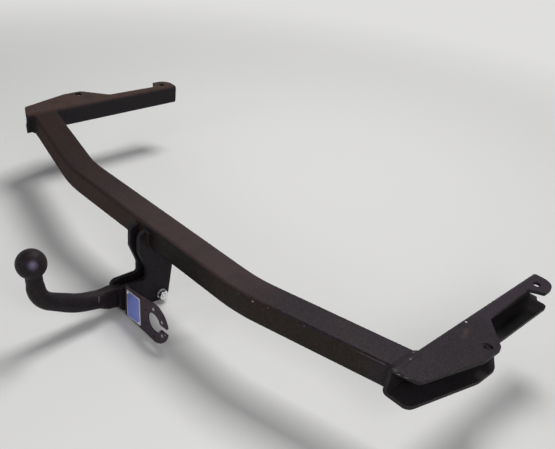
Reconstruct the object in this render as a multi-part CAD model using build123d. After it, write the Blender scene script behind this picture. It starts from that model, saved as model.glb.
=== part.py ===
from build123d import *
import math
import os

# A fixed tow bar with a 50 mm ball: a bent box-section cross tube, two folded
# channel arms, two welded neck plates and a forged swan neck held by two bolts.
# Millimetres. The origin is the centre of the ball. +Y points to the vehicle,
# +Z up, and +X to the side that carries the socket plate.

# Ball and swan neck
ball_diameter = 50.0
ball_root_fillet = 5.0
stem_diameter = 28.0
stem_length = 38.0
bend_diameter = 31.0
bar_diameter = 33.5
stem_lean = 5.0
stem_drop = 75.0
upper_run = 79.6
upper_run_slope = 27.8
lower_run = 41.0
lower_run_slope = 12.0
neck_bend_radius = 48.0
straight_before_flare = 21.0
flare_length = 22.0
flare_height = 41.0
tongue_thickness = 20.0
tongue_end_radius = 15.0
tongue_edge_radius = 3.0

# Cross tube
tube_ahead = 237.5
tube_above = 11.0
tube_depth = 56.0
tube_height = 45.0
tube_wall = 4.0
tube_corner = 6.5
bend_offset = 252.0
bend_angle = 13.4
bend_radius = 297.0

# Arms, with plan sizes outboard of the web and ahead of the tube's centre line
arm_spacing = 1034.4
arm_thickness = 6.0
arm_height = 46.0
arm_rise = 3.0
fold_radius = 8.0
arm_rear = 16.5
arm_front = 429.0
heel_width = 46.0
heel_corner = 12.0
right_upper_rear = 25.0
right_upper_skew = 11.0
right_lower_rear = 22.5
right_lower_corner = 14.0
right_web_lean = 5.5
left_rear = 16.5
left_skew = 20.0
left_web_lean = 3.5
wing_width = 77.5
wing_start = 153.0
wing_end = 197.0
wing_shoulder = 30.0
wing_corner = 16.0
strip_width = 25.5
strip_start = 248.0
strip_throat = 14.0
strip_narrowing = 4.5
ear_length = 41.0
ear_width = 46.0
ear_skew = 14.0
ear_corner = 25.0
ear_throat = 8.0
ear_heel = 3.0
lower_taper_end = 243.0
lower_taper_throat = 20.0
lower_ear_setback = 9.5
lower_ear_corner = 9.0
lower_tip_width = 20.5
lower_tip_flare = 5.5
lower_tip_corner = 2.0
wing_hole_diameter = 16.5
wing_hole_outboard = 62.2
wing_hole_forward = 183.0
ear_hole_diameter = 14.0
ear_hole_outboard = 23.0
ear_hole_forward = 401.0

# Neck plates, with heights below the tube's top and lengths from its centre line
plate_thickness = 8.0
plate_back = 18.0
plate_top_drop = 9.0
plate_top_slope = 6.0
plate_top_corner = 12.0
plate_back_end = 52.0
plate_back_corner = 14.0
plate_waist_drop = 92.0
plate_waist_corner = 20.0
plate_waist_inset = -1.5
throat_radius = 5.0
lobe_back = 86.0
lobe_top_drop = 114.0
lobe_top_slope = 1.0
lobe_top_corner = 12.0
lobe_bottom_drop = 163.5
lobe_bottom_corner = 14.0
plate_toe_forward = 15.0
plate_toe_drop = 16.5
plate_toe_corner = 14.0
plate_shoulder_drop = 100.0
plate_shoulder_corner = 40.0

# Neck bolts
bolt_diameter = 10.0
bolt_hole_clearance = 0.5
nut_hole_clearance = 0.2
front_bolt_forward = 4.5
front_bolt_drop = 160.0
bolt_pitch = 67.0
hex_across_flats = 17.0
hex_chamfer_angle = 30.0
bolt_head_height = 6.4
nut_height = 8.4
washer_diameter = 20.0
washer_thickness = 2.0
front_bolt_length = 50.0
rear_bolt_length = 55.0
bolt_end_chamfer = 1.0

# Socket plate
socket_plate_thickness = 4.0
socket_face_back = 78.0
socket_fold_radius = 3.0
socket_fold_height = 58.0
socket_fold_drop = 139.4
socket_reach = 110.5
socket_head_drop = 133.5
socket_head_radius = 38.0
socket_hole_diameter = 38.0
socket_slot_width = 12.0
socket_screw_pcd = 56.0
socket_screw_hole_diameter = 5.5
socket_screw_count = 6
socket_lug_radius = 15.0

# Type plate
type_plate_width = 41.0
type_plate_height = 57.0
type_plate_thickness = 1.0
type_plate_corner = 2.0
type_plate_gap = 4.5
rivet_head_diameter = 5.0
rivet_head_height = 1.5
rivet_shank_diameter = 3.0
rivet_clearance = 0.1
rivet_inset = 4.5
rivet_tail_diameter = 4.4
rivet_tail_height = 2.0
rivet_tail_round = 0.8

# Weld beads
arm_weld_leg = 4.0
plate_weld_leg = 5.0
weld_face_angle = 45.0
groove_fill_rise = 1.5

# Places worked out from the sizes above
tube_top_z = tube_above
tube_bottom_z = tube_top_z - tube_height
tube_middle_z = tube_top_z - tube_height / 2
web_x = arm_spacing / 2
tube_end_ahead = (web_x - bend_offset) * math.tan(math.radians(bend_angle))
arm_top_z = tube_top_z + arm_rise
plate_inner_x = tongue_thickness / 2
plate_outer_x = plate_inner_x + plate_thickness
front_bolt = (tube_ahead + front_bolt_forward, tube_top_z - front_bolt_drop)


def outline(corners):
    """Closed face through (u, v, radius) corners, each rounded by its radius."""
    face = Sketch() + make_face(Polyline(*[(u, v) for u, v, _ in corners], close=True))
    for u, v, radius in corners:
        if radius:
            corner = face.vertices().sort_by_distance((u, v, 0))[0]
            face = fillet(corner, radius)
    return face


def hull_face(*shapes):
    """Face inside the tight band around the edges of the given shapes."""
    edges = ShapeList()
    for shape in shapes:
        edges += shape.edges()
    return make_hull(edges)


def along_x(face, start, length):
    """Prism of a Y-Z face, from x = start over the given length."""
    return extrude(Plane.YZ.offset(start) * face, length)


def rod_x(centre, diameter, start, length):
    """Round rod along X through centre, given as (y, z)."""
    return along_x(Pos(*centre) * Circle(diameter / 2), start, length)


def mirrored(shape):
    return mirror(shape, about=Plane.YZ)


def tube_path(reach):
    """Centre line of the cross tube in plan, out to x = reach on both sides."""
    end_y = tube_ahead + (reach - bend_offset) * math.tan(math.radians(bend_angle))
    corners = [
        (-reach, end_y, tube_middle_z),
        (-bend_offset, tube_ahead, tube_middle_z),
        (bend_offset, tube_ahead, tube_middle_z),
        (reach, end_y, tube_middle_z),
    ]
    return FilletPolyline(*corners, radius=bend_radius)


def tube_profile(growth):
    """Tube section in the Y-Z plane about its centre, grown on every side."""
    depth = tube_depth + 2 * growth
    height = tube_height + 2 * growth
    return RectangleRounded(depth, height, tube_corner + growth)


def swept_tube(growth):
    """Bent bar of the grown tube section, cut square at the arms' webs."""
    path = tube_path(web_x + tube_depth)
    start = Plane(origin=path @ 0, x_dir=(path % 0).cross(Vector(0, 0, 1)), z_dir=path % 0)
    bar = sweep(start * tube_profile(growth), path=path)
    between_webs = Pos(0, tube_ahead, tube_middle_z) * Box(2 * web_x, 4 * tube_depth, 4 * tube_height)
    return bar & between_webs


def cross_tube():
    return swept_tube(0) - swept_tube(-tube_wall)


def arm_flange(corners):
    """Plan of one flange, given from the web's inboard face and the tube's centre line."""
    return Pos(web_x, tube_ahead) * outline(corners)


def wing_edge():
    """Outer edge of the wide rear part, which both flanges share."""
    return [(wing_width, wing_start, wing_shoulder), (wing_width, wing_end, wing_corner)]


def heel(rear, skew, corner):
    """Rear edge of a flange, from the web out to its rounded corner."""
    return [(0, rear, 0), (heel_width, rear + skew, corner)]


def upper_flange(rear_edge):
    ear_start = arm_front - ear_length
    ear = [
        (strip_width, strip_start, strip_throat),
        (strip_width - strip_narrowing, ear_start - ear_skew, ear_throat),
        (ear_width, ear_start, ear_heel),
        (ear_width, arm_front, ear_corner),
        (0, arm_front, 0),
    ]
    return arm_flange(rear_edge + wing_edge() + ear)


def lower_flange(rear_edge):
    ear_end = arm_front - lower_ear_setback
    ear = [
        (ear_width, lower_taper_end, lower_taper_throat),
        (ear_width, ear_end, lower_ear_corner),
        (lower_tip_width + lower_tip_flare, ear_end, lower_tip_corner),
        (lower_tip_width, arm_front, lower_tip_corner),
        (0, arm_front, 0),
    ]
    return arm_flange(rear_edge + wing_edge() + ear)


def channel_block(wall):
    """Block that fills the folded channel, or with a wall given the space inside it."""
    length = arm_front - arm_rear
    height = arm_height - 2 * wall
    section = Rectangle(wing_width + arm_thickness, height, align=(Align.MIN, Align.MAX))
    section = fillet(section.vertices().group_by(Axis.X)[0], fold_radius - wall)
    section = Pos(web_x + wall, arm_top_z - wall) * section
    return extrude(Plane.XZ.offset(-tube_ahead - arm_front) * section, length)


def behind_web(rear, lean):
    """Block behind an arm's end, which is at rear at the bottom and leans forward above it."""
    bottom_z = arm_top_z - arm_height
    corners = [
        (tube_ahead + rear, bottom_z, 0),
        (tube_ahead + rear + lean, arm_top_z, 0),
        (tube_ahead, arm_top_z, 0),
        (tube_ahead, bottom_z, 0),
    ]
    return along_x(outline(corners), web_x - arm_thickness, 2 * wing_width)


def arm(upper_edge, lower_edge, web_rear, web_lean):
    """Folded channel with both flanges cut to shape and the holes in the upper one."""
    channel = channel_block(0) - channel_block(arm_thickness)
    fold_z = arm_top_z - fold_radius
    upper = extrude(Pos(0, 0, fold_z) * upper_flange(upper_edge), fold_radius)
    lower = extrude(Pos(0, 0, fold_z) * lower_flange(lower_edge), fold_radius - arm_height)
    holes = Part()
    for diameter, outboard, forward in [
        (wing_hole_diameter, wing_hole_outboard, wing_hole_forward),
        (ear_hole_diameter, ear_hole_outboard, ear_hole_forward),
    ]:
        place = Pos(web_x + outboard, tube_ahead + forward, arm_top_z)
        holes += place * Cylinder(diameter / 2, arm_height)
    return channel & (upper + lower) - holes - behind_web(web_rear, web_lean)


def right_arm():
    upper_edge = heel(right_upper_rear, right_upper_skew, heel_corner)
    lower_edge = heel(right_lower_rear, 0, right_lower_corner)
    return arm(upper_edge, lower_edge, right_lower_rear, right_web_lean)


def left_arm():
    """The left arm reaches further back than the right one, with both heels cut aslant."""
    edge = heel(left_rear, left_skew, heel_corner)
    return mirrored(arm(edge, edge, left_rear, left_web_lean))


def rear_bolt():
    """Place of the rear neck bolt, back along the slope of the neck."""
    slope = math.radians(tongue_slope())
    return (front_bolt[0] - bolt_pitch * math.cos(slope), front_bolt[1] + bolt_pitch * math.sin(slope))


def tongue_slope():
    """Downward slope in degrees from the end of the round bar to the front bolt."""
    end = neck_route()[-1]
    return math.degrees(math.atan2(end[1] - front_bolt[1], front_bolt[0] - end[0]))


def neck_route():
    """Corners of the swan neck's centre line in Y-Z, from the ball's centre."""
    upper = math.radians(upper_run_slope)
    lower = math.radians(lower_run_slope)
    bend = (stem_drop * math.tan(math.radians(stem_lean)), -stem_drop)
    knee = (bend[0] + upper_run * math.cos(upper), bend[1] - upper_run * math.sin(upper))
    end = (knee[0] + lower_run * math.cos(lower), knee[1] - lower_run * math.sin(lower))
    return [(0, 0), bend, knee, end]


def plate_outline(notched):
    """Neck plate in Y-Z, with or without the notch that takes the cross tube."""
    rear_y = tube_ahead - tube_depth / 2
    front_y = tube_ahead + tube_depth / 2
    back_y = rear_y - plate_back
    top_z = tube_top_z - plate_top_drop
    waist_y = rear_y + plate_waist_inset
    lobe_y = tube_ahead - lobe_back
    lobe_top_z = tube_top_z - lobe_top_drop + lobe_top_slope
    corners = [
        (rear_y, top_z, 0),
        (back_y, top_z - plate_top_slope, plate_top_corner),
        (back_y, tube_top_z - plate_back_end, plate_back_corner),
        (waist_y, tube_top_z - plate_waist_drop, plate_waist_corner),
        (waist_y, lobe_top_z - lobe_top_slope, throat_radius),
        (lobe_y, lobe_top_z, lobe_top_corner),
        (lobe_y, tube_top_z - lobe_bottom_drop, lobe_bottom_corner),
        (front_bolt[0] + plate_toe_forward, front_bolt[1] - plate_toe_drop, plate_toe_corner),
        (front_y, tube_top_z - plate_shoulder_drop, plate_shoulder_corner),
        (front_y, tube_bottom_z, 0),
    ]
    if notched:
        corners.append((rear_y, tube_bottom_z, 0))
    else:
        corners.append((front_y, top_z, 0))
    return outline(corners)


def bolt_places():
    return [front_bolt, rear_bolt()]


def drilled(shape, diameter, start, length):
    """Shape with both neck bolt holes through it."""
    for place in bolt_places():
        shape -= rod_x(place, diameter, start, length)
    return shape


def right_neck_plate():
    plate = along_x(plate_outline(True), plate_inner_x, plate_thickness)
    return drilled(plate, bolt_diameter + 2 * bolt_hole_clearance, 0, 2 * plate_outer_x)


def ball_and_stem():
    """Upright ball with its straight stem below it, turned with a rounded root."""
    ball_radius = ball_diameter / 2
    stem_radius = stem_diameter / 2
    root_x = stem_radius + ball_root_fillet
    root_z = -math.sqrt((ball_radius + ball_root_fillet) ** 2 - root_x**2)
    root_angle = math.degrees(math.atan2(-root_z, root_x))
    half = [
        CenterArc((0, 0), ball_radius, -root_angle, root_angle + 90),
        CenterArc((root_x, root_z), ball_root_fillet, 180 - root_angle, root_angle),
        Polyline((stem_radius, root_z), (stem_radius, -stem_length), (0, -stem_length), (0, ball_radius)),
    ]
    return revolve(Plane.XZ * make_face(half), Axis.Z)


def bar_piece(edge, start_diameter, end_diameter):
    """Round bar along one straight or bent stretch of the neck's centre line."""
    start = Plane(origin=edge @ 0, x_dir=(1, 0, 0), z_dir=edge % 0)
    if edge.geom_type == GeomType.CIRCLE:
        return sweep(start * Circle(start_diameter / 2), path=edge)
    if start_diameter == end_diameter:
        return extrude(start * Circle(start_diameter / 2), edge.length)
    upright = (Align.CENTER, Align.CENTER, Align.MIN)
    return start * Cone(start_diameter / 2, end_diameter / 2, edge.length, align=upright)


def tow_neck():
    """Forged neck: ball, stem, bent bar that thickens, flare and flat bolted tongue."""
    lean = math.radians(stem_lean)
    stem_end = (stem_length * math.sin(lean), -stem_length * math.cos(lean))
    points = [(0, y, z) for y, z in [stem_end] + neck_route()[1:]]
    turn = math.radians(upper_run_slope - lower_run_slope)
    knee_radius = (lower_run - straight_before_flare) / math.tan(turn / 2)
    path = FilletPolyline(*points, radius=[neck_bend_radius, knee_radius])
    stretches = path.edges()
    diameters = [stem_diameter, bend_diameter, bend_diameter, bar_diameter, bar_diameter, bar_diameter]
    neck = Rot(stem_lean, 0, 0) * ball_and_stem()
    for stretch, start_diameter, end_diameter in zip(stretches, diameters, diameters[1:]):
        neck += bar_piece(stretch, start_diameter, end_diameter)
    bar_end = Plane(origin=path @ 1, x_dir=(1, 0, 0), z_dir=path % 1)
    blade = tongue(bar_end.offset(flare_length))
    flare = loft([bar_end * Circle(bar_diameter / 2), blade.faces().sort_by_distance(bar_end.origin)[0]])
    blade = drilled(blade, bolt_diameter + 2 * bolt_hole_clearance, -plate_outer_x, 2 * plate_outer_x)
    return neck + flare + blade


def tongue(start):
    """Flat tongue with rounded edges, from the start plane to the eye of the front bolt."""
    low = start.from_local_coords((0, -flare_height / 2, 0))
    high = start.from_local_coords((0, flare_height / 2, 0))
    rear_edge = Line((low.Y, low.Z), (high.Y, high.Z))
    eye = Pos(*front_bolt) * Circle(tongue_end_radius)
    blank = along_x(hull_face(rear_edge, eye), -plate_inner_x, tongue_thickness)
    rims = blank.faces().filter_by(Axis.X).edges()
    ahead_of_flare = max(low.Y, high.Y)
    long_rims = rims.filter_by(lambda edge: edge.center().Y > ahead_of_flare)
    return fillet(long_rims, tongue_edge_radius)


def arm_weld():
    """Bead between the right arm's web and the tube, filling the groove at the folds."""
    cut_depth = tube_depth / math.cos(math.radians(bend_angle))
    place = Plane.YZ.offset(web_x) * Pos(tube_ahead + tube_end_ahead, tube_middle_z)
    reach = 2 * arm_weld_leg
    toe = RectangleRounded(cut_depth + reach, tube_height + reach, tube_corner + arm_weld_leg)
    collar = extrude(place * toe, -arm_weld_leg, taper=weld_face_angle)
    fill_corner = tube_corner + groove_fill_rise
    fill = Rectangle(cut_depth - 2 * fill_corner, tube_height + 2 * groove_fill_rise)
    return collar + extrude(place * fill, fold_radius) - swept_tube(0) - channel_block(0)


def plate_weld():
    """Bead between the right neck plate's outer face and the tube."""
    place = Plane.YZ.offset(plate_outer_x) * Pos(tube_ahead, tube_middle_z)
    collar = extrude(place * tube_profile(plate_weld_leg), plate_weld_leg, taper=weld_face_angle)
    tube = extrude(place * tube_profile(0), plate_weld_leg)
    backed = along_x(plate_outline(False), plate_outer_x, plate_weld_leg)
    return (collar - tube) & backed


def socket_head_centre():
    return (socket_reach, tube_top_z - socket_head_drop)


def socket_arm_angle():
    """Slope in degrees of the socket plate, from its fold to its round head."""
    head = socket_head_centre()
    fold_middle_z = tube_top_z - socket_fold_drop
    return math.degrees(math.atan2(head[1] - fold_middle_z, head[0] - socket_flat_x()))


def socket_flat_x():
    return plate_outer_x + socket_plate_thickness + socket_fold_radius


def socket_plane():
    """Rear face of the socket plate, with X to the right and Z up."""
    return Plane(origin=(0, tube_ahead - socket_face_back, 0), x_dir=(1, 0, 0), z_dir=(0, -1, 0))


def socket_face_cuts():
    """Round opening, cable slot and screw holes, in the socket plate's plane."""
    opening = Circle(socket_hole_diameter / 2)
    slot_length = 2 * socket_head_radius
    slot = Pos(slot_length / 2) * Rectangle(slot_length, socket_slot_width)
    step = 360 / socket_screw_count
    screws = PolarLocations(socket_screw_pcd / 2, socket_screw_count, start_angle=step / 2)
    screw_holes = screws * Circle(socket_screw_hole_diameter / 2)
    return Pos(*socket_head_centre()) * Rot(0, 0, socket_arm_angle()) * (opening + slot + screw_holes)


def socket_plate():
    thickness = socket_plate_thickness
    flat_x = socket_flat_x()
    top_z = tube_top_z - socket_fold_drop + socket_fold_height / 2
    bottom_z = top_z - socket_fold_height
    fold_line = Line((flat_x, bottom_z), (flat_x, top_z))
    head = Pos(*socket_head_centre()) * Circle(socket_head_radius)
    face = hull_face(fold_line, head) - socket_face_cuts() - rivet_holes()
    face = extrude(socket_plane() * face, -thickness)
    face_y = tube_ahead - socket_face_back
    outer = thickness + socket_fold_radius
    ring = Circle(outer) - Circle(socket_fold_radius)
    quarter = ring & (Pos(-outer, -outer) * Rectangle(outer, outer, align=(Align.MIN, Align.MIN)))
    fold = extrude(Pos(flat_x, face_y + outer, bottom_z) * quarter, socket_fold_height)
    leg_start = Line((face_y + outer, bottom_z), (face_y + outer, top_z))
    lug = Pos(*rear_bolt()) * Circle(socket_lug_radius)
    leg = along_x(hull_face(leg_start, lug), plate_outer_x, thickness)
    leg -= rod_x(rear_bolt(), bolt_diameter + 2 * bolt_hole_clearance, 0, 2 * flat_x)
    return face + fold + leg


def type_plate_frame():
    """Middle and tilt of the type plate on the socket plate's rear face."""
    angle = socket_arm_angle()
    slope = math.radians(angle)
    reach = type_plate_gap + type_plate_width / 2
    x = socket_flat_x() + reach * math.cos(slope)
    z = tube_top_z - socket_fold_drop + reach * math.sin(slope)
    return Pos(x, z) * Rot(0, 0, angle)


def rivet_centres():
    """Two rivets in opposite corners of the type plate."""
    x = type_plate_width / 2 - rivet_inset
    z = type_plate_height / 2 - rivet_inset
    return [type_plate_frame() * Pos(-x, z), type_plate_frame() * Pos(x, -z)]


def rivet_holes():
    radius = rivet_shank_diameter / 2 + rivet_clearance
    return Sketch() + [centre * Circle(radius) for centre in rivet_centres()]


def type_plate():
    blank = RectangleRounded(type_plate_width, type_plate_height, type_plate_corner)
    face = type_plate_frame() * blank - rivet_holes()
    return extrude(socket_plane() * face, type_plate_thickness)


def rivet():
    """Blind rivet with a low domed head, standing on the plane z = 0."""
    head_radius = rivet_head_diameter / 2
    shank_radius = rivet_shank_diameter / 2
    tail_radius = rivet_tail_diameter / 2
    grip = type_plate_thickness + socket_plate_thickness
    half = [
        ThreePointArc((-head_radius, 0), (0, rivet_head_height), (head_radius, 0)).trim(0.5, 1),
        Polyline(
            (head_radius, 0),
            (shank_radius, 0),
            (shank_radius, -grip),
            (tail_radius, -grip),
            (tail_radius, -grip - rivet_tail_height + rivet_tail_round),
            (tail_radius - rivet_tail_round, -grip - rivet_tail_height),
            (0, -grip - rivet_tail_height),
            (0, rivet_head_height),
        ),
    ]
    return revolve(Plane.XZ * make_face(half), Axis.Z)


def type_plate_rivets():
    front = socket_plane().offset(type_plate_thickness)
    return Compound([front * centre * rivet() for centre in rivet_centres()])


def hexagon(height):
    """Hexagonal prism standing on z = 0, with both rims chamfered."""
    corner_radius = hex_across_flats / math.sqrt(3)
    prism = extrude(RegularPolygon(corner_radius, 6), height)
    drop = (corner_radius - hex_across_flats / 2) * math.tan(math.radians(hex_chamfer_angle))
    cone = Cylinder(corner_radius, height, align=(Align.CENTER, Align.CENTER, Align.MIN))
    rims = cone.edges().filter_by(GeomType.CIRCLE)
    cone = chamfer(rims, drop, corner_radius - hex_across_flats / 2)
    return prism & cone


def neck_bolt(place, length):
    """Bolt with its head on the left, its shank towards the socket side."""
    head_face = -plate_outer_x - washer_thickness
    seat = Plane(origin=(head_face, *place), x_dir=(0, 1, 0), z_dir=(-1, 0, 0))
    shank = Cylinder(bolt_diameter / 2, length, align=(Align.CENTER, Align.CENTER, Align.MAX))
    tip = shank.edges().filter_by(GeomType.CIRCLE).sort_by(Axis.Z)[0]
    shank = chamfer(tip, bolt_end_chamfer)
    return seat * (hexagon(bolt_head_height) + shank)


def neck_nut(place, seat_x):
    seat = Plane(origin=(seat_x + washer_thickness, *place), x_dir=(0, 1, 0), z_dir=(1, 0, 0))
    bore = Cylinder(bolt_diameter / 2 + nut_hole_clearance / 2, 4 * nut_height)
    return seat * (hexagon(nut_height) - bore)


def washer(place, seat_x):
    """Plain washer from x = seat_x outwards."""
    ring = Circle(washer_diameter / 2) - Circle(bolt_diameter / 2 + bolt_hole_clearance)
    thickness = math.copysign(washer_thickness, seat_x)
    return along_x(Pos(*place) * ring, seat_x, thickness)


def build():
    plate = right_neck_plate()
    bead = arm_weld()
    plate_bead = plate_weld()
    front = front_bolt
    rear = rear_bolt()
    rear_grip_x = plate_outer_x + socket_plate_thickness
    return {
        "cross_tube": cross_tube(),
        "left_arm": left_arm(),
        "right_arm": right_arm(),
        "left_arm_weld": mirrored(bead),
        "right_arm_weld": bead,
        "left_neck_plate": mirrored(plate),
        "right_neck_plate": plate,
        "left_plate_weld": mirrored(plate_bead),
        "right_plate_weld": plate_bead,
        "tow_neck": tow_neck(),
        "front_neck_bolt": neck_bolt(front, front_bolt_length),
        "front_neck_nut": neck_nut(front, plate_outer_x),
        "front_head_washer": washer(front, -plate_outer_x),
        "front_nut_washer": washer(front, plate_outer_x),
        "rear_neck_bolt": neck_bolt(rear, rear_bolt_length),
        "rear_neck_nut": neck_nut(rear, rear_grip_x),
        "rear_head_washer": washer(rear, -plate_outer_x),
        "rear_nut_washer": washer(rear, rear_grip_x),
        "socket_plate": socket_plate(),
        "type_plate": type_plate(),
        "type_plate_rivets": type_plate_rivets(),
    }


os.makedirs("parts", exist_ok=True)
for name, shape in build().items():
    export_step(shape, f"parts/{name}.step")
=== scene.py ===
import math

import bmesh
import bpy
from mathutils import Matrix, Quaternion, Vector


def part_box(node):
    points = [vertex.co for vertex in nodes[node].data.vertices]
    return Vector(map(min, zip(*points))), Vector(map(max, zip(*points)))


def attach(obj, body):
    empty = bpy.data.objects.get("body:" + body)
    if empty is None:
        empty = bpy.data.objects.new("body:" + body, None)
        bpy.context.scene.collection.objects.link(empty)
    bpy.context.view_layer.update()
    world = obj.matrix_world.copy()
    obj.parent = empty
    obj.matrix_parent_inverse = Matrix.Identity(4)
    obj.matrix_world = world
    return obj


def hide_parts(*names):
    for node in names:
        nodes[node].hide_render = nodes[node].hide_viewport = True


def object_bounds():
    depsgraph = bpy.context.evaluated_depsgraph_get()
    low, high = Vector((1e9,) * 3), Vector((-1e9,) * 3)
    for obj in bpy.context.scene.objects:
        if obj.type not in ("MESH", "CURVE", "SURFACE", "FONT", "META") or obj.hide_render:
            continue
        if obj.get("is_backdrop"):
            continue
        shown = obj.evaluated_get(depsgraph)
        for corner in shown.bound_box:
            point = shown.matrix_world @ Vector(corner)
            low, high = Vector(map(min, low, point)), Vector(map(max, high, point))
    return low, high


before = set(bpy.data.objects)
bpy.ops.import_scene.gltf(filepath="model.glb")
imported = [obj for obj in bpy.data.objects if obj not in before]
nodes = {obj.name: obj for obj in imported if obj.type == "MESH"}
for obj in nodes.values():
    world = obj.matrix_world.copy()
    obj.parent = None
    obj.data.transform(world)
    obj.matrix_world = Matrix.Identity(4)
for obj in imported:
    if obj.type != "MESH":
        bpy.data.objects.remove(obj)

cad_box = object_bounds()

# View of the photograph: the camera's place, a point on its axis, its roll and its reach
camera_place = Vector((0.9107, -0.4176, 0.6657))
camera_target = Vector((0.1305, 0.4188, 0.0))
camera_roll = math.radians(6.9)
camera_range = (0.01, 60.0)
focal_pixels = 714.8
picture_width = 555
sensor_width = 36.0

# Places of the solid model, in metres, that the welds, bolts and type plate share
web_x = 0.5172
fold_radius = 0.008
arm_top = 0.014
arm_bottom = -0.032
tube_depth = 0.056
tube_height = 0.045
tube_corner = 0.0065
tube_middle = Vector((0.0, 0.2375, -0.0115))
tube_slope = math.radians(13.4)
tube_end_y = 0.3007
plate_face_x = 0.018
bolt_radius = 0.005
bolt_across_flats = 0.017
bolt_head_height = 0.0064

# Weld beads: legs, bulges and ripples, and slow waves of an uneven hand as rate and shift
bead_leg = 0.0043
bead_unevenness = 0.08
bead_front_thinning = 0.3
bead_bulge = 0.0010
bead_bulge_top = 0.0018
bead_bulge_bottom = 0.0031
bead_sink = 0.0013
bead_steps = 8
bead_sharp_angle = 40
ripple_pitch = 0.0022
ripple_depth = 0.00026
ripple_sag = 1.1
ripple_middle = 0.6
rings_per_ripple = 7
hand_waves = ((0.31, 0.0), (0.17, 1.3), (0.083, 0.4))

# The bead at an arm: how far its toe stays inside the arm's height and laps over the fold on top
toe_below_top = 0.0012
toe_above_bottom = 0.0006
top_lap = 0.0080
top_lap_rise = 0.0015

# The bead at a neck plate: where it starts below the tube's top and how its ends run out
plate_bead_leg = 0.0050
plate_bead_unevenness = 0.07
plate_bead_start = 0.0045
plate_bead_run_out = 0.004
least_swell_squared = 0.04

# Bolts: head, thread and the chamfer at the end
head_land = 0.48
head_chamfer = math.radians(30)
head_chamfer_rings = 6
end_chamfer = 0.001
thread_pitch = 0.0015
thread_depth = 0.0009
thread_length = 0.0180
thread_rings = 8
thread_slope = 2.4
thread_root = 0.1
bolt_sides = 48
bolt_sharp_angle = 28

# Type plate and socket plate, in the plane of their faces
type_plate_middle = Vector((0.04994, 0.1590, -0.1267))
type_plate_face_y = 0.1585
type_plate_half = (0.0205, 0.0285)
type_border = 0.0022
socket_middle = Vector((0.1105, 0.1615, -0.1225))
socket_slope = math.radians(3.95)
socket_screw_circle = 0.028
socket_screw_hole = 0.00275
socket_screw_count = 6
# Screw holes worn to bare metal, chosen where they glint: real wear and painted glints
worn_glinting_screw_holes = (0, 1, 5)
worn_edge = (0.0001, 0.0004)
worn_metal = 0.8

# Base colours, as linear red, green and blue
coat_brown = (0.0215, 0.0105, 0.0075)
coat_violet = (0.0105, 0.0065, 0.0115)
neck_brown = (0.0100, 0.0060, 0.0065)
neck_violet = (0.0080, 0.0060, 0.0095)
plate_grey = (0.0090, 0.0085, 0.0120)
plate_dark = (0.0065, 0.0060, 0.0085)
socket_brown = (0.0540, 0.0350, 0.0430)
socket_violet = (0.0450, 0.0350, 0.0510)
dust_colour = (0.0530, 0.0370, 0.0410)
# Painted light on the left arm's top, in a warm tone, and a lighter colour for the middle of the
# tube's top
left_arm_painted_light = (0.0585, 0.0350, 0.0280)
lighter_middle_top = (0.0430, 0.0250, 0.0255)
dust_film = (0.0120, 0.0125, 0.0115)
side_brown = (0.0250, 0.0085, 0.0035)
side_olive = (0.0165, 0.0125, 0.0085)
side_grey = (0.0175, 0.0160, 0.0185)
# Painted shade for the tube's rear side behind the neck
side_shade = (0.0045, 0.0035, 0.0030)
strip_violet = (0.0215, 0.0140, 0.0240)
pit_colour = (0.0080, 0.0070, 0.0070)
# Painted highlight on the smooth spot of the ball
painted_highlight_violet = (0.1950, 0.1600, 0.2700)
bare_steel = (0.3400, 0.3100, 0.2950)
# Bright bare edge, also the colour of painted glints
bare_edge_and_glint = (0.6200, 0.5900, 0.5800)
rust_colour = (0.1150, 0.0560, 0.0330)
zinc_colour = (0.9000, 0.9050, 0.9150)
zinc_dull = (0.7000, 0.7050, 0.7200)
plate_blue = (0.2200, 0.2750, 0.7600)
plate_blue_light = (0.2700, 0.3200, 0.8200)
aluminium_colour = (0.9200, 0.9200, 0.9600)
aluminium_dull = (0.7800, 0.7900, 0.8600)
floor_colour = (0.7400, 0.7350, 0.7250)
studio_dim = (0.1900, 0.1700, 0.1700)
studio_light = (0.9700, 0.9800, 1.0000)

# Noises: features per metre, detail and, where it is not the usual one, roughness
cloud_noise = (9.0, 5.0, 0.6)
patch_noise = (60.0, 4.0, 0.6)
mottle_noise = (340.0, 3.0, 0.6)
film_noise = (45.0, 3.0)
pit_noise = (900.0, 2.0)
scuff_noise = (170.0, 5.0)
rag_noise = (700.0, 3.0)
peel_noise = (320.0, 2.0)
grain_noise = (1500.0, 2.0)
rubbed_highlight_noise = (90.0, 3.0)
scratch_noise = (600.0, 4.0)
blue_noise = (90.0, 4.0)
aluminium_noise = (300.0, 3.0)
aluminium_grain = (500.0, 2.0)
metal_cloud_noise = (240.0, 4.0, 0.6)
stain_noise = (130.0, 4.0)
metal_grain = (1800.0, 2.0)

# Coat: spans of noise or of sharpness over which each layer sets in, and strengths of the layers
tint_per_metre = 0.45
tint_span = (0.32, 0.68)
patch_span = (0.40, 0.75)
mottle_span = (0.45, 0.66)
mottle_gain = 2.4
pit_span = (0.62, 0.72)
pit_strength = 0.35
scuff_span = (0.40, 0.68)
wear_span = (0.03, 0.22)
wear_strength = 0.40
film_span = (0.50, 0.64)
film_strength = 0.30
rag_reach = 0.9
mark_edge = (0.75, 1.15)
mark_roughness = -0.15
coat_ior = 1.48

# Depths of bumps and radii of edges, in metres
bevel_samples = 6
edge_round = 0.0009
peel_depth = 0.00011
mottle_depth = 0.00005
grain_depth = 0.000012

# Rubbed spot on the ball, smoother and with a painted highlight: place, reach, unevenness,
# strength of the painted highlight and change of roughness
rubbed_highlight_spot = Vector((0.0203, -0.0070, 0.0110))
rubbed_highlight_reach = 0.0115
rubbed_highlight_range = (0.75, 1.1)
highlight_strength = 0.7
rubbed_roughness = -0.25

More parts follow.
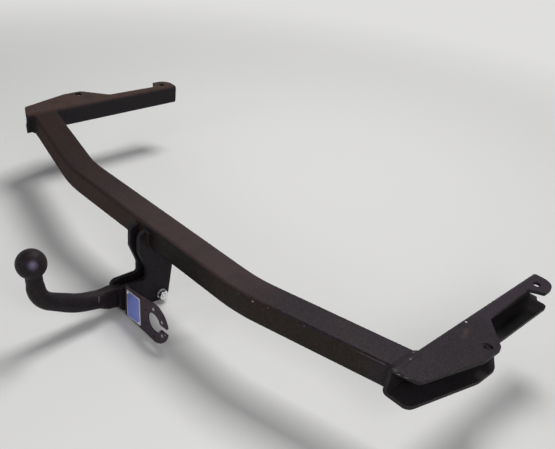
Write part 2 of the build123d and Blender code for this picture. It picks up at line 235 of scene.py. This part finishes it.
# Type plate: edges of the printed field, scratches, and values of bare metal and of print
plate_edge_round = 0.0003
print_edge = 0.0002
print_front = (0.0001, 0.0002)
scratch_span = (0.60, 0.70)
scratch_strength = 0.35
plate_roughness = (0.30, 0.42)
plate_metallic = (0.6, 0.5)
aluminium_grain_depth = 0.00003
print_depth = 0.00005

# Bolts, nuts, washers and rivets
metal_edge_round = 0.0004
metal_cloud_span = (0.3, 0.7)
stain_span = (0.62, 0.78)
stain_strength = 0.5
metal_grain_depth = 0.00002

# Spans of the normal's Z and Y over which a surface starts to face up or to the rear
upward_span = (0.3, 0.9)
rearward_span = (-0.3, -0.9)

# Spans along X where the tube's top turns lighter in the middle, starting and ending, and where
# painted light on the left arm's top starts, and the heights over which dust on top sets in
lighter_middle_start = (-0.22, 0.02)
lighter_middle_end = (0.20, 0.34)
left_arm_light_span = (-0.505, -0.530)
sheltered_span = (-0.020, 0.0)

# Spans along X and Y over which the top of the right arm turns lighter towards its strip
right_span = (0.40, 0.50)
strip_span = (0.44, 0.50)

# Spans along X where painted shade on the tube's darker rear side starts and ends, and the
# distances from the middle over which the sides turn grey at the arms
shade_start = (0.0, 0.02)
shade_end = (0.13, 0.22)
grey_span = (0.46, 0.51)

# Span along X over which the coat turns duller towards the left arm, and by how much
dull_span = (-0.16, -0.34)
dull_roughness = 0.25

# Floor, and the distances over which it turns into the plain backdrop
floor_radius = 9.0
floor_sides = 96
floor_middle_y = 0.3
floor_gap = 0.0005
floor_roughness = 0.9
floor_gloss = 0.1
floor_fade = (1.1, 2.4)

# Studio: sines of the angles above the horizon where its pale wall ends and its dim ceiling
# starts, and the strengths of the wall and of the soft light
wall_top = 0.32
ceiling = 0.47
wall_strength = 1.0
studio_strength = 0.2

# Lamps: name, place, target, size and power
lamps = [
    ("key", (-0.31, 1.36, 2.37), (0.0, 0.35, 0.0), 1.1, 52.0),
    ("front", (1.16, -0.25, 0.69), (0.0, 0.0, 0.0), 0.4, 4.5),
    ("fill", (0.1, -1.6, 0.9), (0.0, 0.2, 0.0), 0.5, 5.0),
]

# Marks on the coat, some of them painted glints and painted shade: start, end, half width, colour
# and strength
structure_marks = [
    ((0.5243, 0.4437, 0.0128), (0.5258, 0.4445, 0.0138), 0.0014, bare_edge_and_glint, 1.0),
    # Painted shade on the lower flange inside the right arm's channel
    ((0.5600, 0.5300, -0.0260), (0.5560, 0.6150, -0.0260), 0.0200, (0.003, 0.003, 0.003), 0.9),
    ((0.5375, 0.4270, 0.0140), (0.5395, 0.4220, 0.0140), 0.0055, (0.085, 0.050, 0.048), 0.32),
    ((0.5430, 0.4140, 0.0140), (0.5440, 0.4100, 0.0140), 0.0050, (0.085, 0.050, 0.048), 0.22),
    # Painted glints on the rear rim of the right arm's upper flange
    ((0.5320, 0.2660, 0.0100), (0.5350, 0.2668, 0.0110), 0.0008, bare_edge_and_glint, 0.35),
    ((0.5415, 0.2684, 0.0115), (0.5475, 0.2697, 0.0120), 0.0006, bare_edge_and_glint, 0.35),
    ((0.5241, 0.2655, 0.0137), (0.5289, 0.2653, 0.0127), 0.0026, (0.100, 0.100, 0.092), 0.45),
    ((0.2588, 0.2125, 0.0063), (0.2588, 0.2125, 0.0063), 0.0012, (0.15, 0.09, 0.08), 0.6),
    ((0.2858, 0.2172, 0.0063), (0.2866, 0.2174, 0.0063), 0.0015, (0.34, 0.23, 0.21), 0.9),
    ((0.3135, 0.2241, 0.0074), (0.3135, 0.2241, 0.0074), 0.0012, (0.10, 0.09, 0.09), 0.6),
    ((0.3766, 0.2388, 0.0067), (0.3766, 0.2388, 0.0067), 0.0012, (0.14, 0.09, 0.09), 0.6),
    ((0.4560, 0.2580, 0.0072), (0.5110, 0.2712, 0.0073), 0.0006, (0.12, 0.10, 0.10), 0.5),
    ((0.4990, 0.2685, 0.0077), (0.5080, 0.2704, 0.0073), 0.0006, (0.15, 0.13, 0.13), 0.5),
]
# Painted glints on the right arm's weld bead
weld_glints = [
    ((0.5256, 0.3016, 0.0145), (0.5250, 0.3040, 0.0143), 0.0018, (0.170, 0.145, 0.155), 0.6),
    ((0.5184, 0.3194, 0.0132), (0.5184, 0.3194, 0.0132), 0.0020, (0.150, 0.130, 0.140), 0.6),
]
neck_marks = [
    ((0.0108, 0.1129, -0.1067), (0.0159, 0.1100, -0.1137), 0.0013, (0.130, 0.120, 0.130), 0.8),
    ((-0.0044, 0.0971, -0.0999), (-0.0003, 0.1164, -0.1034), 0.0028, (0.050, 0.020, 0.022), 0.6),
]
plate_marks = [
    ((0.0180, 0.1960, -0.1060), (0.0180, 0.1985, -0.1110), 0.0022, (0.006, 0.006, 0.007), 0.9),
]
socket_marks = [
    ((0.0840, 0.1595, -0.1121), (0.0870, 0.1595, -0.1130), 0.0026, rust_colour, 0.7),
    ((0.0853, 0.1595, -0.1102), (0.0853, 0.1595, -0.1102), 0.0032, rust_colour, 0.5),
    ((0.0713, 0.1629, -0.0910), (0.0765, 0.1612, -0.0902), 0.0022, rust_colour, 0.7),
    # Painted glints on the edges of the socket plate's slot
    ((0.1445, 0.1595, -0.1176), (0.1445, 0.1595, -0.1176), 0.0010, bare_edge_and_glint, 0.9),
    ((0.1440, 0.1595, -0.1270), (0.1440, 0.1595, -0.1270), 0.0010, bare_edge_and_glint, 0.9),
]


class Nodes:
    """A node tree, with short calls that add nodes and link them."""

    def __init__(self, tree):
        self.tree = tree

    def add(self, kind, settings=None, **inputs):
        node = self.tree.nodes.new(kind)
        for key, value in (settings or {}).items():
            setattr(node, key, value)
        for key, value in inputs.items():
            self.feed(node, key, value)
        return node

    def feed(self, node, key, value):
        """Sets an input, named by words or as i0, i1 and so on, or links it to an output."""
        index = int(key[1:]) if key[0] == "i" and key[1:].isdigit() else key.replace("_", " ")
        socket = node.inputs[index]
        if isinstance(value, bpy.types.NodeSocket):
            self.tree.links.new(value, socket)
        elif isinstance(value, tuple) and len(value) == 3 and socket.type == "RGBA":
            socket.default_value = (*value, 1.0)
        else:
            socket.default_value = value

    def math(self, operation, first, second=0.0, third=0.0):
        settings = {"operation": operation}
        return self.add("ShaderNodeMath", settings, i0=first, i1=second, i2=third).outputs[0]

    def times(self, first, second):
        return self.math("MULTIPLY", first, second)

    def one_minus(self, value):
        return self.math("SUBTRACT", 1.0, value)

    def largest(self, values):
        result = values[0]
        for value in values[1:]:
            result = self.math("MAXIMUM", result, value)
        return result

    def vector(self, operation, first, *second):
        """Result of a vector operation: a number for a dot product, length or distance."""
        inputs = {f"i{number}": value for number, value in enumerate((first, *second))}
        outputs = self.add("ShaderNodeVectorMath", {"operation": operation}, **inputs).outputs
        number = operation in ("DOT_PRODUCT", "LENGTH", "DISTANCE")
        return outputs["Value" if number else "Vector"]

    def along(self, axis, vector):
        return self.add("ShaderNodeSeparateXYZ", Vector=vector).outputs[axis]

    def ramp(self, value, low, high):
        """Smooth step from 0 at low to 1 at high."""
        settings = {"interpolation_type": "SMOOTHSTEP", "clamp": True}
        node = self.add("ShaderNodeMapRange", settings, Value=value)
        node.inputs["From Min"].default_value = low
        node.inputs["From Max"].default_value = high
        return node.outputs["Result"]

    def within(self, value, start, end):
        """Rises from 0 to 1 over the span start and falls back to 0 over the span end."""
        return self.times(self.ramp(value, *start), self.ramp(value, *reversed(end)))

    def scaled(self, value, low, high):
        """Value from 0..1 mapped to low..high."""
        return self.math("MULTIPLY_ADD", value, high - low, low)

    def mix(self, factor, first, second):
        node = self.add("ShaderNodeMix", {"data_type": "RGBA"}, i0=factor, i6=first, i7=second)
        return node.outputs[2]

    def seen(self):
        """1 for the camera's rays and for mirrored ones, 0 for the soft light on the part."""
        path = self.add("ShaderNodeLightPath").outputs
        kinds = ("Camera", "Glossy", "Transmission")
        return self.largest([path[f"Is {kind} Ray"] for kind in kinds])


class Shader(Nodes):
    """One node material round a Principled BSDF."""

    def __init__(self, name):
        self.material = bpy.data.materials.new(name)
        self.material.use_nodes = True
        super().__init__(self.material.node_tree)
        self.surface = self.tree.nodes["Principled BSDF"]
        self.place = self.add("ShaderNodeTexCoord").outputs["Object"]

    def noise(self, scale, detail, roughness=0.5):
        """Grey noise from 0 to 1 with features of about 1 / scale metres."""
        node = self.add("ShaderNodeTexNoise", Vector=self.place, Scale=scale, Detail=detail)
        node.inputs["Roughness"].default_value = roughness
        return node.outputs["Fac"]

    def normal(self):
        return self.add("ShaderNodeNewGeometry").outputs["Normal"]

    def rounded(self, radius):
        """The normal as if edges were rounded."""
        return self.add("ShaderNodeBevel", {"samples": bevel_samples}, Radius=radius).outputs[0]

    def bump(self, height, depth, normal):
        return self.add("ShaderNodeBump", Height=height, Distance=depth, Normal=normal).outputs[0]

    def steps_from(self, start, end, half_width):
        """How many half widths away the surface is from the middle of a short stroke."""
        start = Vector(start)
        end = Vector(end)
        direction = (end - start).normalized() if start != end else Vector((0, 0, 1))
        half_length = (end - start).length / 2 + half_width
        offset = self.vector("SUBTRACT", self.place, (start + end) / 2)
        along = self.math("ABSOLUTE", self.vector("DOT_PRODUCT", offset, direction))
        along_squared = self.math("POWER", along, 2.0)
        length_squared = self.math("POWER", self.vector("LENGTH", offset), 2.0)
        across_squared = self.math("SUBTRACT", length_squared, along_squared)
        near = self.math("DIVIDE", self.math("MAXIMUM", across_squared, 0.0), half_width**2)
        far = self.math("DIVIDE", along_squared, half_length**2)
        return self.math("SQRT", self.math("ADD", near, far))

    def marked(self, base, marks):
        """Base colour with each mark laid over it, with a ragged outline, and the marks' cover."""
        rag = self.scaled(self.noise(*rag_noise), -rag_reach, rag_reach)
        covers = []
        for start, end, half_width, colour, strength in marks:
            steps = self.math("ADD", self.steps_from(start, end, half_width), rag)
            cover = self.times(self.one_minus(self.ramp(steps, *mark_edge)), strength)
            base = self.mix(cover, base, colour)
            covers.append(cover)
        return base, self.largest(covers)

    def set(self, **inputs):
        for key, value in inputs.items():
            self.feed(self.surface, key, value)

    def fed(self, key):
        """The output that feeds an input of the surface."""
        return self.surface.inputs[key].links[0].from_socket


def dusted(s, top, tint, lengthwise):
    """Colours of the tops, with dust, a lighter middle and painted light on the left arm, and of
    the sides and undersides, with painted shade at the rear.
    """
    normal = s.normal()
    upward = s.ramp(s.along("Z", normal), *upward_span)
    rearward = s.ramp(s.along("Y", normal), *rearward_span)
    side = s.mix(s.largest([tint, s.one_minus(rearward)]), side_brown, side_olive)
    side = s.mix(s.ramp(s.math("ABSOLUTE", lengthwise), *grey_span), side, side_grey)
    # Painted shade on the tube's rear side behind the neck
    shade = s.times(s.within(lengthwise, shade_start, shade_end), rearward)
    side = s.mix(shade, side, side_shade)
    # Lighter middle of the tube's top
    top = s.mix(s.within(lengthwise, lighter_middle_start, lighter_middle_end), top, lighter_middle_top)
    strip = s.ramp(s.along("Y", s.place), *strip_span)
    top = s.mix(s.times(s.ramp(lengthwise, *right_span), strip), top, strip_violet)
    # Painted light on the left arm's top
    top = s.mix(s.ramp(lengthwise, *left_arm_light_span), top, left_arm_painted_light)
    film = s.times(s.ramp(s.noise(*film_noise), *film_span), film_strength)
    top = s.mix(film, top, dust_film)
    open_to_dust = s.ramp(s.along("Z", s.place), *sheltered_span)
    return s.mix(s.times(upward, open_to_dust), side, top)


def coating(name, first, second, marks, glow=0.15, gloss=0.12, rough=(0.42, 0.60), dusty=False):
    """Satin black powder coat with orange peel, dust, worn edges and its own marks."""
    s = Shader(name)
    normal = s.rounded(edge_round)
    sharpness = s.one_minus(s.vector("DOT_PRODUCT", normal, s.normal()))
    patches = s.noise(*patch_noise)
    mottle = s.noise(*mottle_noise)
    lengthwise = s.along("X", s.place)
    tint = s.math("MULTIPLY_ADD", lengthwise, tint_per_metre, s.noise(*cloud_noise))
    tint = s.ramp(tint, *tint_span)
    roughness = s.scaled(patches, *rough)
    base = s.mix(tint, first, second)
    if dusty:
        base = dusted(s, base, tint, lengthwise)
        dull = s.ramp(lengthwise, *dull_span)
        roughness = s.math("MULTIPLY_ADD", dull, dull_roughness, roughness)
    base = s.mix(s.scaled(s.ramp(patches, *patch_span), 0.0, glow), base, dust_colour)
    speckles = s.scaled(s.ramp(mottle, *mottle_span), 0.0, glow * mottle_gain)
    base = s.mix(speckles, base, dust_colour)
    pits = s.ramp(s.noise(*pit_noise), *pit_span)
    base = s.mix(s.times(pits, pit_strength), base, pit_colour)
    scuffs = s.ramp(s.noise(*scuff_noise), *scuff_span)
    wear = s.times(s.ramp(sharpness, *wear_span), scuffs)
    base = s.mix(s.times(wear, wear_strength), base, bare_steel)
    base, bare = s.marked(base, marks)
    roughness = s.math("MULTIPLY_ADD", bare, mark_roughness, roughness)
    normal = s.bump(s.noise(*peel_noise), peel_depth, normal)
    normal = s.bump(mottle, mottle_depth, normal)
    normal = s.bump(s.noise(*grain_noise), grain_depth, normal)
    s.set(Base_Color=base, Roughness=roughness, Normal=normal)
    s.set(Metallic=0.0, IOR=coat_ior, Specular_IOR_Level=gloss)
    return s


def neck_coating():
    """Coat of the forged neck, worn smoother on the ball, with a painted highlight there."""
    look = {"glow": 0.10, "gloss": 0.18, "rough": (0.52, 0.62)}
    s = coating("neck_coating", neck_brown, neck_violet, neck_marks, **look)
    distance = s.vector("DISTANCE", s.place, rubbed_highlight_spot)
    rubbed_highlight = s.one_minus(s.ramp(distance, 0.0, rubbed_highlight_reach))
    rubbed_highlight = s.times(rubbed_highlight, s.scaled(s.noise(*rubbed_highlight_noise), *rubbed_highlight_range))
    # Painted highlight on the smooth spot of the ball
    base = s.mix(s.times(rubbed_highlight, highlight_strength), s.fed("Base Color"), painted_highlight_violet)
    roughness = s.math("MULTIPLY_ADD", rubbed_highlight, rubbed_roughness, s.fed("Roughness"))
    s.set(Base_Color=base, Roughness=roughness)
    return s.material


def socket_coating():
    """Coat of the socket plate, worn to bright bare metal inside the three screw holes that carry
    painted glints.
    """
    s = coating("socket_coating", socket_brown, socket_violet, socket_marks, glow=0.12)
    inner, outer = (socket_screw_hole + past for past in worn_edge)
    rims = []
    for number in worn_glinting_screw_holes:
        angle = socket_slope + math.pi / socket_screw_count * (2 * number + 1)
        direction = Vector((math.cos(angle), 0, math.sin(angle)))
        offset = s.vector("SUBTRACT", s.place, socket_middle + socket_screw_circle * direction)
        reach = s.vector("LENGTH", s.vector("MULTIPLY", offset, Vector((1, 0, 1))))
        rims.append(s.one_minus(s.ramp(reach, inner, outer)))
    rim = s.largest(rims)
    # Bright bare metal in these holes: worn metal and painted glints
    base = s.mix(rim, s.fed("Base Color"), bare_edge_and_glint)
    s.set(Base_Color=base, Metallic=s.times(rim, worn_metal))
    return s.material


def type_plate_face():
    """Thin aluminium plate with a bare border round a plain blue printed field."""
    s = Shader("type_plate_face")
    offset = s.vector("SUBTRACT", s.place, type_plate_middle)
    across = Vector((math.cos(socket_slope), 0, math.sin(socket_slope)))
    up = Vector((-math.sin(socket_slope), 0, math.cos(socket_slope)))
    past = []
    for axis, half in zip((across, up), type_plate_half):
        reach = s.math("ABSOLUTE", s.vector("DOT_PRODUCT", offset, axis))
        past.append(s.math("SUBTRACT", reach, half - type_border))
    field = s.one_minus(s.ramp(s.largest(past), -print_edge, print_edge))
    near, far = (type_plate_face_y + depth for depth in print_front)
    front = s.one_minus(s.ramp(s.along("Y", s.place), near, far))
    printed = s.times(field, front)
    scratches = s.ramp(s.noise(*scratch_noise), *scratch_span)
    blue = s.mix(s.noise(*blue_noise), plate_blue, plate_blue_light)
    blue = s.mix(s.times(scratches, scratch_strength), blue, aluminium_dull)
    metal = s.mix(s.noise(*aluminium_noise), aluminium_dull, aluminium_colour)
    normal = s.rounded(plate_edge_round)
    normal = s.bump(s.noise(*aluminium_grain), aluminium_grain_depth, normal)
    normal = s.bump(printed, print_depth, normal)
    s.set(Base_Color=s.mix(printed, metal, blue), Normal=normal)
    s.set(Roughness=s.scaled(printed, *plate_roughness))
    s.set(Metallic=s.scaled(printed, *plate_metallic))
    return s.material


def bright_metal(name, colour, dull, rough):
    """Plated or bare metal with dull patches, fine grain and faint stains."""
    s = Shader(name)
    clouds = s.noise(*metal_cloud_noise)
    stains = s.ramp(s.noise(*stain_noise), *stain_span)
    base = s.mix(s.ramp(clouds, *metal_cloud_span), dull, colour)
    base = s.mix(s.times(stains, stain_strength), base, rust_colour)
    normal = s.bump(s.noise(*metal_grain), metal_grain_depth, s.rounded(metal_edge_round))
    s.set(Base_Color=base, Roughness=s.scaled(clouds, *rough), Normal=normal, Metallic=1.0)
    return s.material


def skin(name, rings, looped):
    """Closed mesh through equal rings of points, joined end to end or capped."""
    mesh = bmesh.new()
    loops = [[mesh.verts.new(point) for point in ring] for ring in rings]
    following = loops[1:] + loops[:1] if looped else loops[1:]
    for loop, after in zip(loops, following):
        for index in range(len(loop)):
            behind = index - 1
            mesh.faces.new((loop[behind], loop[index], after[index], after[behind]))
    if not looped:
        mesh.faces.new(loops[0])
        mesh.faces.new(reversed(loops[-1]))
    bmesh.ops.recalc_face_normals(mesh, faces=mesh.faces)
    data = bpy.data.meshes.new(name)
    mesh.to_mesh(data)
    mesh.free()
    piece = bpy.data.objects.new(name, data)
    bpy.context.scene.collection.objects.link(piece)
    return piece


def finished(piece, material, node, sharp_angle):
    """Smooth shading except at sharp edges, a material, and the node the piece stands for."""
    piece.data.shade_smooth()
    piece.data.set_sharp_from_angle(angle=math.radians(sharp_angle))
    piece.data.materials.append(material)
    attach(piece, "root")
    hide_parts(node)


def tube_outline(depth, start, end, step):
    """Points and outward directions round the tube in Y-Z, from the top of its rear side down.

    Without an end the outline goes all the way round, and its first point isn't repeated.
    """
    flats = [tube_height - 2 * tube_corner, depth - 2 * tube_corner]
    arc = math.pi / 2 * tube_corner
    lap = 2 * (flats[0] + flats[1]) + 4 * arc
    end = lap if end is None else end
    count = round((end - start) / step)
    for number in range(count + (end < lap)):
        left = start + (end - start) * number / count
        corner_centre = Vector((0, tube_corner - depth / 2, tube_height / 2 - tube_corner))
        turn = 0.0
        for side in range(4):
            heading = Vector((0, math.sin(turn), -math.cos(turn)))
            flat = flats[side % 2]
            corner_centre += heading * min(left, flat)
            left -= flat
            if left <= 0:
                break
            turn += min(left, arc) / tube_corner
            left -= arc
            if left <= 0:
                break
        outward = Vector((0, -math.cos(turn), -math.sin(turn)))
        yield corner_centre + outward * tube_corner, outward


def bead_section(root, inboard, outward, toe, leg, bulge, phase):
    """Section of a fillet bead from its toe on the tube to the given toe, at one ripple's phase."""
    near = root + inboard * leg
    across = inboard + outward
    across = (across - across.project(toe - near)).normalized()
    control = (near + toe) / 2 + across * bulge
    points = []
    for number in range(bead_steps + 1):
        v = number / bead_steps
        crown = math.sin(math.pi * v)
        ripple = abs(math.sin(phase + ripple_sag * crown)) - ripple_middle
        point = near * (1 - v) ** 2 + control * (2 * v * (1 - v)) + toe * v**2
        points.append(point + across * (ripple * ripple_depth * crown**0.5))
    sunk_toe = toe - inboard * bead_sink - outward * bead_sink / 2
    return points + [sunk_toe, root - outward * bead_sink, near - outward * bead_sink]


def wander(phase):
    """Slow unevenness of a hand-laid bead, about -1 to 1."""
    return sum(math.sin(rate * phase + shift) for rate, shift in hand_waves) / len(hand_waves)


def arm_bead(name, node, side, material):
    """Bead round the tube where it meets an arm's web, filling the grooves at the folds."""
    inboard = Vector((-math.cos(tube_slope) * side, -math.sin(tube_slope), 0))
    middle = Vector((side * web_x, tube_end_y, tube_middle.z))
    fold_x = web_x + fold_radius
    depth = tube_depth / math.cos(tube_slope)
    outline = tube_outline(depth, 0, None, ripple_pitch / rings_per_ripple)
    rings = []
    for number, (place, outward) in enumerate(outline):
        phase = math.pi * number / rings_per_ripple
        root = middle + place
        thinning = 1 - bead_front_thinning * max(0.0, outward.y)
        leg = bead_leg * (1 + bead_unevenness * wander(phase)) * thinning
        toe = root + outward * leg
        toe.z = max(arm_bottom + toe_above_bottom, min(arm_top - toe_below_top, toe.z))
        past_fold = (toe.z - arm_top + fold_radius, arm_bottom + fold_radius - toe.z)
        fold_depth = math.sqrt(fold_radius**2 - max(0.0, *past_fold) ** 2)
        on_top = max(0.0, outward.z) ** 4
        toe.x = side * (fold_x - fold_depth + top_lap * on_top)
        toe.z += top_lap_rise * on_top
        extra = (bead_bulge_bottom if outward.z < 0 else bead_bulge_top) - bead_bulge
        bulge = bead_bulge + extra * outward.z**2
        rings.append(bead_section(root, inboard, outward, toe, leg, bulge, phase))
    piece = skin(name, rings, True)
    finished(piece, material, node, bead_sharp_angle)


def plate_bead(name, node, side, material):
    """Bead where a neck plate's outer face meets the rear and the bottom of the tube."""
    inboard = Vector((side, 0, 0))
    middle = Vector((side * plate_face_x, tube_middle.y, tube_middle.z))
    step = ripple_pitch / rings_per_ripple
    start = plate_bead_start
    end = tube_height - 2 * tube_corner + math.pi / 2 * tube_corner + tube_depth - 2 * tube_corner
    rings = []
    for number, (place, outward) in enumerate(tube_outline(tube_depth, start, end, step)):
        phase = math.pi * number / rings_per_ripple
        root = middle + place
        from_end = min(number * step, end - start - number * step) / plate_bead_run_out
        swell = math.sqrt(max(least_swell_squared, 1 - max(0.0, 1 - from_end) ** 2))
        leg = plate_bead_leg * (1 + plate_bead_unevenness * wander(phase)) * swell
        toe = root + outward * leg
        rings.append(bead_section(root, inboard, outward, toe, leg, bead_bulge * swell, phase))
    piece = skin(name, rings, False)
    finished(piece, material, node, bead_sharp_angle)


def hex_radius(angle):
    """Distance from the axis to a side of the bolt's hexagon in the given direction."""
    turn = (angle + math.pi / 6) % (math.pi / 3) - math.pi / 6
    return bolt_across_flats / 2 / math.cos(turn)


def thread_radius(x, turn):
    """Distance from the axis to the thread, so far along it and at that part of a turn."""
    groove = thread_slope * abs((x / thread_pitch - turn) % 1 - 0.5) - thread_root
    fade = min(1.0, x / thread_pitch)
    return bolt_radius - thread_depth * (1 - min(1.0, max(0.0, groove))) * fade


def bolt_stations(start, end):
    """Places along a bolt from its head's end face, with the largest radius and the form there."""
    flat = bolt_across_flats / 2
    corner = bolt_across_flats / math.sqrt(3)
    drop = (corner - flat) * math.tan(head_chamfer)
    head_face = start + bolt_head_height
    thread_start = end - thread_length
    stations = [(start, bolt_across_flats * head_land, "round")]
    for number in range(head_chamfer_rings + 1):
        x = start + drop * number / head_chamfer_rings
        stations.append((x, flat + (corner - flat) * number / head_chamfer_rings, "hexagon"))
    stations.append((head_face, corner, "hexagon"))
    stations.append((head_face, bolt_radius, "round"))
    stations.append((thread_start, bolt_radius, "round"))
    count = round(thread_length / thread_pitch * thread_rings)
    for number in range(1, count + 1):
        x = thread_start + thread_length * number / count
        stations.append((x, min(bolt_radius, bolt_radius - end_chamfer + end - x), "thread"))
    return stations


def threaded_bolt(name, node, centre, material):
    """Hexagon bolt along X with its head on the left and a cut thread at its end."""
    low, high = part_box(node)
    thread_start = high[0] - thread_length
    rings = []
    for x, widest, form in bolt_stations(low[0], high[0]):
        ring = []
        for number in range(bolt_sides):
            angle = 2 * math.pi * number / bolt_sides
            radius = widest
            if form == "hexagon":
                radius = min(widest, hex_radius(angle))
            if form == "thread":
                radius = min(widest, thread_radius(x - thread_start, number / bolt_sides))
            y = centre[0] + radius * math.cos(angle)
            z = centre[1] + radius * math.sin(angle)
            ring.append(Vector((x, y, z)))
        rings.append(ring)
    piece = skin(name, rings, False)
    finished(piece, material, node, bolt_sharp_angle)


def lay_floor():
    """Pale floor whose far part turns into the plain backdrop, except for the light it gives."""
    place = (0, floor_middle_y, cad_box[0][2] - floor_gap)
    bpy.ops.mesh.primitive_circle_add(
        vertices=floor_sides, radius=floor_radius, fill_type="NGON", location=place
    )
    floor = bpy.context.object
    floor.name = "floor"
    s = Shader("floor_paint")
    s.set(Base_Color=floor_colour, Roughness=floor_roughness, Specular_IOR_Level=floor_gloss)
    far = s.times(s.ramp(s.vector("LENGTH", s.place), *floor_fade), s.seen())
    pale = s.add("ShaderNodeEmission", Color=floor_colour, Strength=wall_strength).outputs[0]
    both = s.add("ShaderNodeMixShader", i0=far, i1=s.surface.outputs[0], i2=pale).outputs[0]
    s.feed(s.tree.nodes["Material Output"], "Surface", both)
    floor.data.materials.append(s.material)
    floor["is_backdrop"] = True


def build_studio():
    """Soft light all round, and a pale wall under a dimmer ceiling for what is seen or mirrored."""
    world = bpy.data.worlds.new("studio")
    bpy.context.scene.world = world
    world.use_nodes = True
    world.node_tree.nodes.clear()
    w = Nodes(world.node_tree)
    soft = w.add("ShaderNodeBackground", Color=studio_light, Strength=studio_strength).outputs[0]
    height = w.along("Z", w.add("ShaderNodeTexCoord").outputs["Generated"])
    wall = w.mix(w.ramp(height, wall_top, ceiling), floor_colour, studio_dim)
    pale = w.add("ShaderNodeBackground", Color=wall, Strength=wall_strength).outputs[0]
    both = w.add("ShaderNodeMixShader", i0=w.seen(), i1=soft, i2=pale).outputs[0]
    w.add("ShaderNodeOutputWorld", Surface=both)


def area_lamp(name, place, target, size, power):
    """Square lamp at a place, turned to its target."""
    lamp = bpy.data.lights.new(name, "AREA")
    lamp.shape = "SQUARE"
    lamp.size = size
    lamp.energy = power
    holder = bpy.data.objects.new(name, lamp)
    holder.location = place
    holder.rotation_mode = "QUATERNION"
    holder.rotation_quaternion = (Vector(target) - Vector(place)).to_track_quat("-Z", "Y")
    bpy.context.scene.collection.objects.link(holder)


def photo_camera():
    """Camera with the view of the photograph."""
    lens = bpy.data.cameras.new("photo_camera")
    lens.sensor_fit = "HORIZONTAL"
    lens.sensor_width = sensor_width
    lens.lens = focal_pixels * sensor_width / picture_width
    lens.clip_start, lens.clip_end = camera_range
    camera = bpy.data.objects.new("photo_camera", lens)
    camera.location = camera_place
    camera.rotation_mode = "QUATERNION"
    level = (camera_target - camera_place).to_track_quat("-Z", "Y")
    camera.rotation_quaternion = level @ Quaternion((0, 0, 1), camera_roll)
    bpy.context.scene.collection.objects.link(camera)
    bpy.context.scene.camera = camera


bpy.context.scene.view_settings.view_transform = "Standard"

black = coating("black_coating", coat_brown, coat_violet, structure_marks, dusty=True).material
weld = coating("coated_weld", coat_brown, coat_violet, weld_glints, glow=0.10, dusty=True).material
plate_black = coating("plate_coating", plate_dark, plate_grey, plate_marks).material
zinc_plate = bright_metal("zinc_plate", zinc_colour, zinc_dull, rough=(0.23, 0.37))
rivet_metal = bright_metal("rivet_aluminium", aluminium_colour, aluminium_dull, rough=(0.24, 0.40))
own_materials = {
    "tow_neck": neck_coating(),
    "left_neck_plate": plate_black,
    "right_neck_plate": plate_black,
    "socket_plate": socket_coating(),
    "type_plate": type_plate_face(),
    "type_plate_rivets": rivet_metal,
}
for name, node in nodes.items():
    material = own_materials.get(name, black)
    if name.endswith("_weld"):
        material = weld
    elif name.endswith(("_bolt", "_nut", "_washer")):
        material = zinc_plate
    for slot in node.material_slots:
        slot.material = material

for side, word in ((1, "right"), (-1, "left")):
    arm_bead(f"{word}_arm_bead", f"{word}_arm_weld", side, weld)
    plate_bead(f"{word}_plate_bead", f"{word}_plate_weld", side, weld)
for word in ("front", "rear"):
    low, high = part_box(f"{word}_neck_nut")
    centre = ((low[1] + high[1]) / 2, (low[2] + high[2]) / 2)
    threaded_bolt(f"{word}_bolt", f"{word}_neck_bolt", centre, zinc_plate)

lay_floor()
build_studio()
for lamp in lamps:
    area_lamp(*lamp)
photo_camera()

boxes = {"cad": cad_box, "visual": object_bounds()}
{key: [list(corner) for corner in box] for key, box in boxes.items()}
